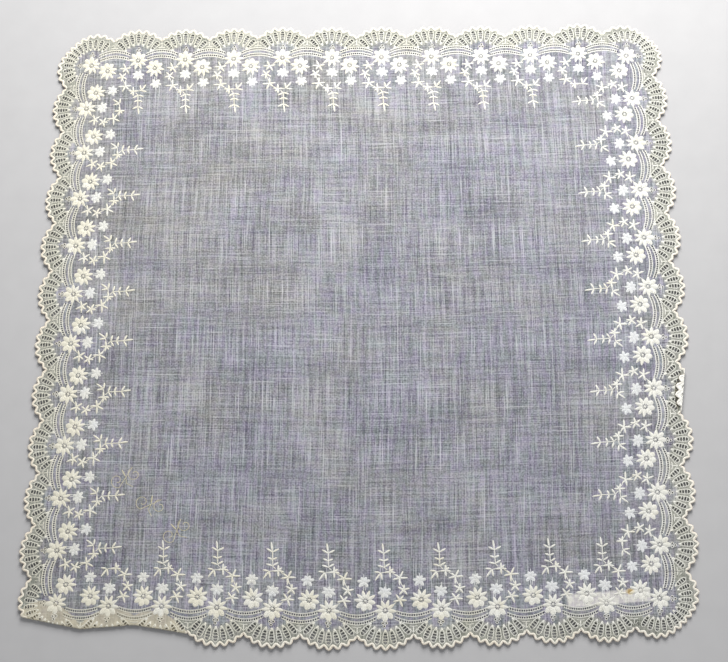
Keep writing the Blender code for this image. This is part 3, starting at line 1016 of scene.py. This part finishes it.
# %% [markdown]
# ## The corded rim
#
# The cut edge is covered with close buttonhole stitches over a padding cord, which makes the seven
# points of each scallop. It is drawn as one flat thread along a scallop, square at its two ends, and
# the stamped copies are welded there, so that the cord runs round the whole cloth without an end.

# %% Rim
RIM_WIDE = 1.15
RIM_HIGH = 0.40
RIM_INSET = RIM_WIDE / 2
RIM_NOTCH = -RIM_INSET * 1.35


def stamp_round(name, finish, *rows, join=False):
    """Stamps each drawn mesh at its places round the edge, and makes one piece of them all."""
    drawing = new_drawing()
    for mesh, places in rows:
        for place in places:
            stamp(drawing, mesh, place)
    if join:
        bmesh.ops.remove_doubles(drawing, verts=drawing.verts, dist=0.005)
    return finish_piece(drawing, name, finish, sharp=1.2)


line = [Vector((-HALF_PITCH, RIM_NOTCH))] + fan_edge(RIM_INSET) + [Vector((HALF_PITCH, RIM_NOTCH))]
scallop_rim = drawn("scallop_rim", thread, line, RIM_WIDE, RIM_HIGH, sides=8, ends=((1, 0), (1, 0)))
line = [Vector((BORDER, RIM_NOTCH))] + corner_edge(RIM_INSET) + [Vector((-RIM_NOTCH, -BORDER))]
corner_rim = drawn("corner_rim", thread, line[::-1], RIM_WIDE, RIM_HIGH, sides=8, ends=((0, 1), (1, 0)))
rows = ((scallop_rim, SCALLOP_PLACES), (corner_rim, CORNER_PLACES))
rim = stamp_round("rim", cord_thread, *rows, join=True)

# %% [markdown]
# ## The ladders of the fans
#
# Each ladder is an oval of whipped thread with three rungs between its four holes, and a small padded
# tip towards the flower. The open holes in the cloth do the rest.

# %% Ladders
RAIL = 0.42
RUNG = 0.32
RAIL_SHAPE = ((-3.4, 0.0), (-3.0, 0.5), (-2.2, 0.86), (-1.1, 1.06),
              (0.3, 1.20), (1.4, 1.18), (2.3, 0.92), (2.9, 0.0))
LADDER_TIP = (-4.1, -2.5)


def draw_ladders(bm, ladders):
    """Ladders: each an oval of thread round four holes, with rungs between them and a tip."""
    for centre, angle, middle, gap in ladders:
        scale = gap / LADDER_GAP
        axis = towards((0, 0), angle, 1.0)
        side = Vector((-axis.y, axis.x)) * scale
        right = [centre + axis * (middle + out * scale) + side * half for out, half in RAIL_SHAPE]
        left = [centre + axis * (middle + out * scale) - side * half for out, half in RAIL_SHAPE[1:-1]]
        thread(bm, right + left[::-1], RAIL, 0.36, closed=True, sides=5)
        root, tip = (centre + axis * (middle + out * scale) for out in LADDER_TIP)
        satin_leaf(bm, root, tip, 1.3, 0.34, 1.0)
        for index in range(-1, 2):
            spot = centre + axis * (middle + index * gap)
            thread(bm, [spot - side, spot + side], RUNG, 0.34, sides=5)


scallop_ladders = drawn("scallop_ladders", draw_ladders, fan_ladders())
corner_ladder_mesh = drawn("corner_ladders", draw_ladders, corner_ladders())
rows = ((scallop_ladders, SCALLOP_PLACES), (corner_ladder_mesh, CORNER_PLACES))
ladders = stamp_round("fan_ladders", fine_thread, *rows)

# %% [markdown]
# ## The chains
#
# Two chains of tiny squares run past each notch, from one large flower to the next. Each chain has
# a thread on either side and a short stitch between every two squares. The bar at the notch is the
# end of the fan's ground.

# %% Chains and notch bars
CHAIN_STEPS = 16
CHAIN_SIDE = 0.64
NOTCH_BARS = (
    ((at(-1.7, 4.4), at(0.0, 4.15), at(1.7, 4.4)), 0.55, 0.40),
    ((at(0.0, 4.3), at(0.0, 1.6)), 0.60, 0.40),
    ((at(-1.5, 3.2), at(-0.4, 2.0)), 0.40, 0.34),
    ((at(1.5, 3.2), at(0.4, 2.0)), 0.40, 0.34),
)


def draw_notch(bm):
    """The two chains past one notch, and its bars, each with its width and height."""
    for row, (depth, drop, at_distance, end) in enumerate(CHAINS):
        line = [chain_line(row, end * (2 * index / CHAIN_STEPS - 1)) for index in range(CHAIN_STEPS + 1)]
        for offset in (-CHAIN_SIDE, CHAIN_SIDE):
            thread(bm, [point + Vector((0.0, offset)) for point in line], 0.52, 0.38, sides=5)
        for index in range(-CHAIN_HOLES + 1, CHAIN_HOLES):
            spot = chain_line(row, float(index))
            thread(bm, [spot + Vector((0.0, -0.5)), spot + Vector((0.0, 0.5))], 0.36, 0.34, sides=5)
    for points, wide, high in NOTCH_BARS:
        thread(bm, points, wide, high, sides=5)


chains = stamp_round("chains", fine_thread, (drawn("notch_chains", draw_notch), NOTCH_PLACES))

# %% [markdown]
# ## Eyelets
#
# Three small eyelets fill the space between each large flower and its fan. An eyelet is a hole
# whose edge is whipped over, so each one is a ring of thread.

# %% Eyelet rings
RING_POINTS = 10


def draw_trio(bm):
    """Three rings of thread, round the eyelets under the middle of a fan."""
    for along, depth in TRIO:
        line = [towards(at(along, depth), 360 * index / RING_POINTS, 0.52) for index in range(RING_POINTS)]
        thread(bm, line, 0.40, 0.38, closed=True, sides=5)


def draw_corner_trios(bm):
    """The same rings at a corner's two places."""
    for place in CORNER_TRIOS:
        stamp(bm, trio_mesh, place)


trio_mesh = drawn("trio", draw_trio)
corner_trio_mesh = drawn("corner_trios", draw_corner_trios)
eyelets = stamp_round("eyelets", satin, (trio_mesh, SCALLOP_PLACES), (corner_trio_mesh, CORNER_PLACES))

# %% [markdown]
# ## The large flowers
#
# A large flower sits at the root of every fan. Its nine petals are round towards the fan and more
# pointed towards the middle of the cloth. Its heart is a knot in a ring of pin holes, with a short
# stitch between every two holes. A second flower stands beside it, with the same heart.

# %% Large flowers
BIG_PETALS = (
    (3, 5.3, 2.2), (45, 5.2, 3.0), (88, 5.0, 3.2), (132, 5.0, 3.0), (175, 5.2, 2.2),
    (214, 5.2, 1.95), (252, 5.3, 1.95), (290, 5.2, 1.95), (328, 5.1, 1.95),
)
SECOND_PETALS = (
    (-8, 5.4, 2.1), (35, 4.9, 2.8), (78, 4.6, 3.3), (124, 4.6, 3.3), (168, 4.9, 2.7),
    (209, 5.4, 2.0), (247, 5.4, 1.95), (284, 5.3, 1.95), (319, 5.2, 1.95),
)


def draw_flower(bm, centre, petals, turn=0.0):
    """Satin petals round a knot, blunt towards the fan and pointed towards the cloth's middle."""
    for angle, reach, wide in petals:
        blunt = max(0.0, math.sin(math.radians(angle)))
        root = towards(centre, angle + turn, 1.0)
        tip = towards(centre, angle + turn, reach)
        satin_leaf(bm, root, tip, wide, 0.42, 1.45 - 0.35 * blunt, 0.35 * blunt - 0.35)
    satin_leaf(bm, centre + Vector((-0.5, 0)), centre + Vector((0.5, 0)), 1.0, 0.5, 1.0)
    for hole in range(PIN_HOLES):
        angle = 360 * (hole + 0.5) / PIN_HOLES + PIN_TURN
        thread(bm, [towards(centre, angle, 0.4), towards(centre, angle, 1.4)], 0.33, 0.34, sides=5)


large_flower = drawn("large_flower", draw_flower, BIG_FLOWER, BIG_PETALS)
corner_flower = drawn("corner_flower", draw_flower, CORNER_FLOWER, BIG_PETALS, turn=45.0)
rows = ((large_flower, SCALLOP_PLACES), (corner_flower, CORNER_PLACES))
big_flowers = stamp_round("large_flowers", satin, *rows)

second_flower = drawn("second_flower", draw_flower, SECOND_FLOWER, SECOND_PETALS)
corner_second = drawn("corner_second", draw_flower, CORNER_SECOND, SECOND_PETALS, turn=20.0)
rows = ((second_flower, SCALLOP_PLACES), (corner_second, CORNER_PLACES))
second_flowers = stamp_round("second_flowers", satin, *rows)

# %% [markdown]
# ## The small flowers
#
# A small dense flower hangs under each large one, and one with spread petals, like a butterfly,
# hangs under each second one. Both are on double stems.

# %% Small flowers
SMALL_FLOWER = at(0.2, 19.2)
SMALL_PETALS = (
    (62, 3.2, 2.3), (5, 3.7, 2.1), (-42, 3.8, 2.1), (-95, 3.1, 1.9),
    (-150, 3.7, 2.1), (165, 3.7, 2.1), (118, 3.2, 2.3),
)
BUTTERFLY = at(9.3, 24.0)
BUTTERFLY_PETALS = (
    (48, 3.6, 2.2), (128, 3.5, 2.2), (-8, 3.5, 2.0),
    (192, 3.6, 2.0), (-62, 3.1, 1.9), (242, 3.2, 1.9),
)
STEMS_APART = 0.8


def draw_small_flower(bm, centre, petals, stem, tail):
    """Petals that meet at the middle, on a stem of two threads, with one thread below."""
    for angle, reach, wide in petals:
        root = towards(centre, angle, -0.2)
        satin_leaf(bm, root, towards(centre, angle, reach), wide, 0.34, 1.4, -0.25)
    start, end = stem
    run = (end - start).normalized()
    side = Vector((-run.y, run.x)) * STEMS_APART / 2
    for sign in (1, -1):
        thread(bm, [start + side * sign, end + side * sign], 0.5, 0.3, sides=5)
    thread(bm, tail, 0.45, 0.32)


small_flower = drawn("small_flower", draw_small_flower, SMALL_FLOWER, SMALL_PETALS,
                     (at(1.2, 15.5), at(1.0, 17.6)), (at(-0.2, 21.3), at(-0.3, 23.1)))
small_flowers = stamp_round("small_flowers", blue_satin, (small_flower, SCALLOP_PLACES))

butterfly = drawn("butterfly_flower", draw_small_flower, BUTTERFLY, BUTTERFLY_PETALS,
                  (at(9.0, 20.2), at(9.2, 22.6)), (at(9.3, 25.6), at(9.3, 27.3)))
butterflies = stamp_round("butterfly_flowers", blue_satin, (butterfly, SCALLOP_PLACES))

# %% [markdown]
# ## Stars, branches and sprays
#
# Small stars of five narrow leaves lead from each large flower to a spray that reaches into the
# plain middle. The spray is missing from one scallop of each side, next to a corner, where two of
# them would touch.

# %% Stars
STARS = (
    (at(-6.3, 15.6), ((112, 3.0), (178, 2.9), (232, 2.3), (303, 2.9), (12, 2.7))),
    (at(-7.9, 20.0), ((128, 2.4), (48, 2.5), (196, 2.6), (330, 2.6), (262, 2.2))),
    (at(-6.3, 25.2), ((88, 3.1), (10, 2.9), (318, 2.4), (245, 3.3), (182, 3.4))),
    (at(-2.0, 28.1), ((95, 2.5), (170, 2.4), (6, 2.3), (268, 2.4), (222, 1.9))),
)
STAR_LEAF = (1.12, 0.46, 1.2)
STAR_LINKS = (
    (at(-7.6, 21.5), at(-6.6, 23.6)),
    (at(-5.3, 26.1), at(-3.3, 27.4)),
    (at(-4.6, 14.6), at(-3.2, 13.5)),
)


def draw_stars(bm):
    """Four stars, each of five narrow leaves, with short threads between them."""
    for centre, arms in STARS:
        for angle, reach in arms:
            root = towards(centre, angle, -0.4)
            satin_leaf(bm, root, towards(centre, angle, reach + 0.35), *STAR_LEAF)
    for link in STAR_LINKS:
        thread(bm, link, 0.5, 0.36)


stars = stamp_round("stars", satin, (drawn("stars", draw_stars), SCALLOP_PLACES))

# %% Branches and sprays
NARROW_LEAF = (1.1, 0.46, 1.2)
BRANCH_TIPS = (at(1.3, 24.5), at(4.5, 24.2), at(4.9, 28.3))
PAIRS = (
    (at(0.4, 30.2), at(-1.9, 31.7), at(3.1, 31.0)),
    (at(0.5, 33.0), at(-1.3, 33.9), at(2.6, 33.9)),
    (at(0.6, 36.4), at(-2.0, 37.9), at(3.1, 37.9)),
)
SPRAY_STALK = (at(-0.9, 28.9), at(0.4, 30.2), at(0.5, 33.0), at(0.6, 36.4), at(0.7, 37.4))


def draw_branch(bm):
    """Three narrow leaves on a short stalk."""
    for tip in BRANCH_TIPS:
        satin_leaf(bm, at(1.9, 27.9), tip, *NARROW_LEAF)
    thread(bm, [at(-0.6, 28.1), at(1.9, 27.7)], 0.55, 0.36)


def draw_spray(bm):
    """Three pairs of narrow leaves and an end leaf on a long stalk."""
    for joint, left_tip, right_tip in PAIRS:
        for tip in (left_tip, right_tip):
            satin_leaf(bm, joint, joint + (tip - joint) * 1.12, *NARROW_LEAF)
    satin_leaf(bm, at(0.7, 36.8), at(1.3, 41.2), *NARROW_LEAF)
    thread(bm, SPRAY_STALK, 0.62, 0.4)


branches = stamp_round("branches", satin, (drawn("branch", draw_branch), SCALLOP_PLACES))
sprays = stamp_round("sprays", satin, (drawn("spray", draw_spray), SPRAY_PLACES))

# %% [markdown]
# ## The curls in one corner
#
# Near one corner a few loose curls are worked in a thin yellowed line, in three small groups on a
# slant. They were stitched by hand after the rest, so they are one plain thread along a curve. A
# spiral is a line whose reach shrinks as it turns, and a leaf and a short tail finish each group.

# %% Curls
CURL_GROUPS = (
    (Vector((-104.5, -75.5)), 20.0),
    (Vector((-92.0, -88.0)), -15.0),
    (Vector((-79.5, -100.0)), 35.0),
)
CURL_SIZE = 5.6
CURL_LINE = (0.42, 0.34)


def draw_curl(bm, centre, lean):
    """Two spirals, one each way, on an S-shaped stalk, with a small leaf and a tail."""
    for way, turned in ((1, 0), (-1, 180)):
        heart = towards(centre, lean + turned, CURL_SIZE * 0.75)
        line = [centre]
        for step in range(15):
            turn = lean + way * 90 + way * step * 28
            line.append(towards(heart, turn, CURL_SIZE * (0.62 - 0.034 * step)))
        thread(bm, line, *CURL_LINE, sides=5)
    satin_leaf(bm, centre, towards(centre, lean + 100, CURL_SIZE * 0.8), 0.8, 0.4, 1.3)
    tail = [centre, towards(centre, lean - 100, CURL_SIZE * 0.5), towards(centre, lean - 70, CURL_SIZE)]
    thread(bm, tail, *CURL_LINE)


curl_drawing = new_drawing()
for centre, lean in CURL_GROUPS:
    draw_curl(curl_drawing, centre, lean)
curls = finish_piece(curl_drawing, "curls", gold_thread)

# %% [markdown]
# ## The tape
#
# A short piece of opaque cotton tape is sewn to the back near one corner, and it shows through the
# cloth as a white bar. It is a thin strip with a woven selvedge, so a grid that is given a
# thickness is enough, and it lies on the floor under the cloth.

# %% Tape
TAPE_RIB = 0.7
TAPE_CLEAR = 0.02


def cotton_tape():
    """Close twill tape: fine slanting ribs in off-white cotton."""
    finish = Finish("cotton_tape", 0.85)
    x, y = finish.attribute("flat")
    ribs = finish.wave(x + y, TAPE_RIB)
    dirt = finish.speckle(x / 4.0, y / 3.0, 2.0, 3.0)
    finish.paint("Base Color", finish.blend(dirt, (0.80, 0.79, 0.73, 1.0), (0.86, 0.86, 0.82, 1.0)))
    finish.relief(ribs, 0.0001)
    return finish


tape_drawing = new_drawing()
half = Matrix.Diagonal((TAPE_LONG / 2, TAPE_WIDE / 2, 1.0, 1.0))
bmesh.ops.create_grid(tape_drawing, x_segments=24, y_segments=4, size=1.0, matrix=half)
bmesh.ops.solidify(tape_drawing, geom=tape_drawing.faces, thickness=TAPE_THICK)
bmesh.ops.recalc_face_normals(tape_drawing, faces=tape_drawing.faces)
tape_spot = bowed(TAPE_PLACE)
tape_turn = Matrix.Translation((tape_spot.x, tape_spot.y, 0.0)) @ Matrix.Rotation(TAPE_TURN, 4, "Z")
bmesh.ops.transform(tape_drawing, matrix=tape_turn, verts=tape_drawing.verts)
low = min(vert.co.z for vert in tape_drawing.verts)
flat = tape_drawing.verts.layers.float_vector.new("flat")
for vert in tape_drawing.verts:
    vert[flat] = vert.co
    vert.co = (vert.co + SHIFT - Vector((0.0, 0.0, low - TAPE_CLEAR))) * MM
tape_mesh = to_mesh(tape_drawing, "tape")
tape_mesh.materials.append(cotton_tape().material)
tape = bpy.data.objects.new("tape", tape_mesh)
bpy.context.scene.collection.objects.link(tape)
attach(tape, "root")
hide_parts("backing_tape")
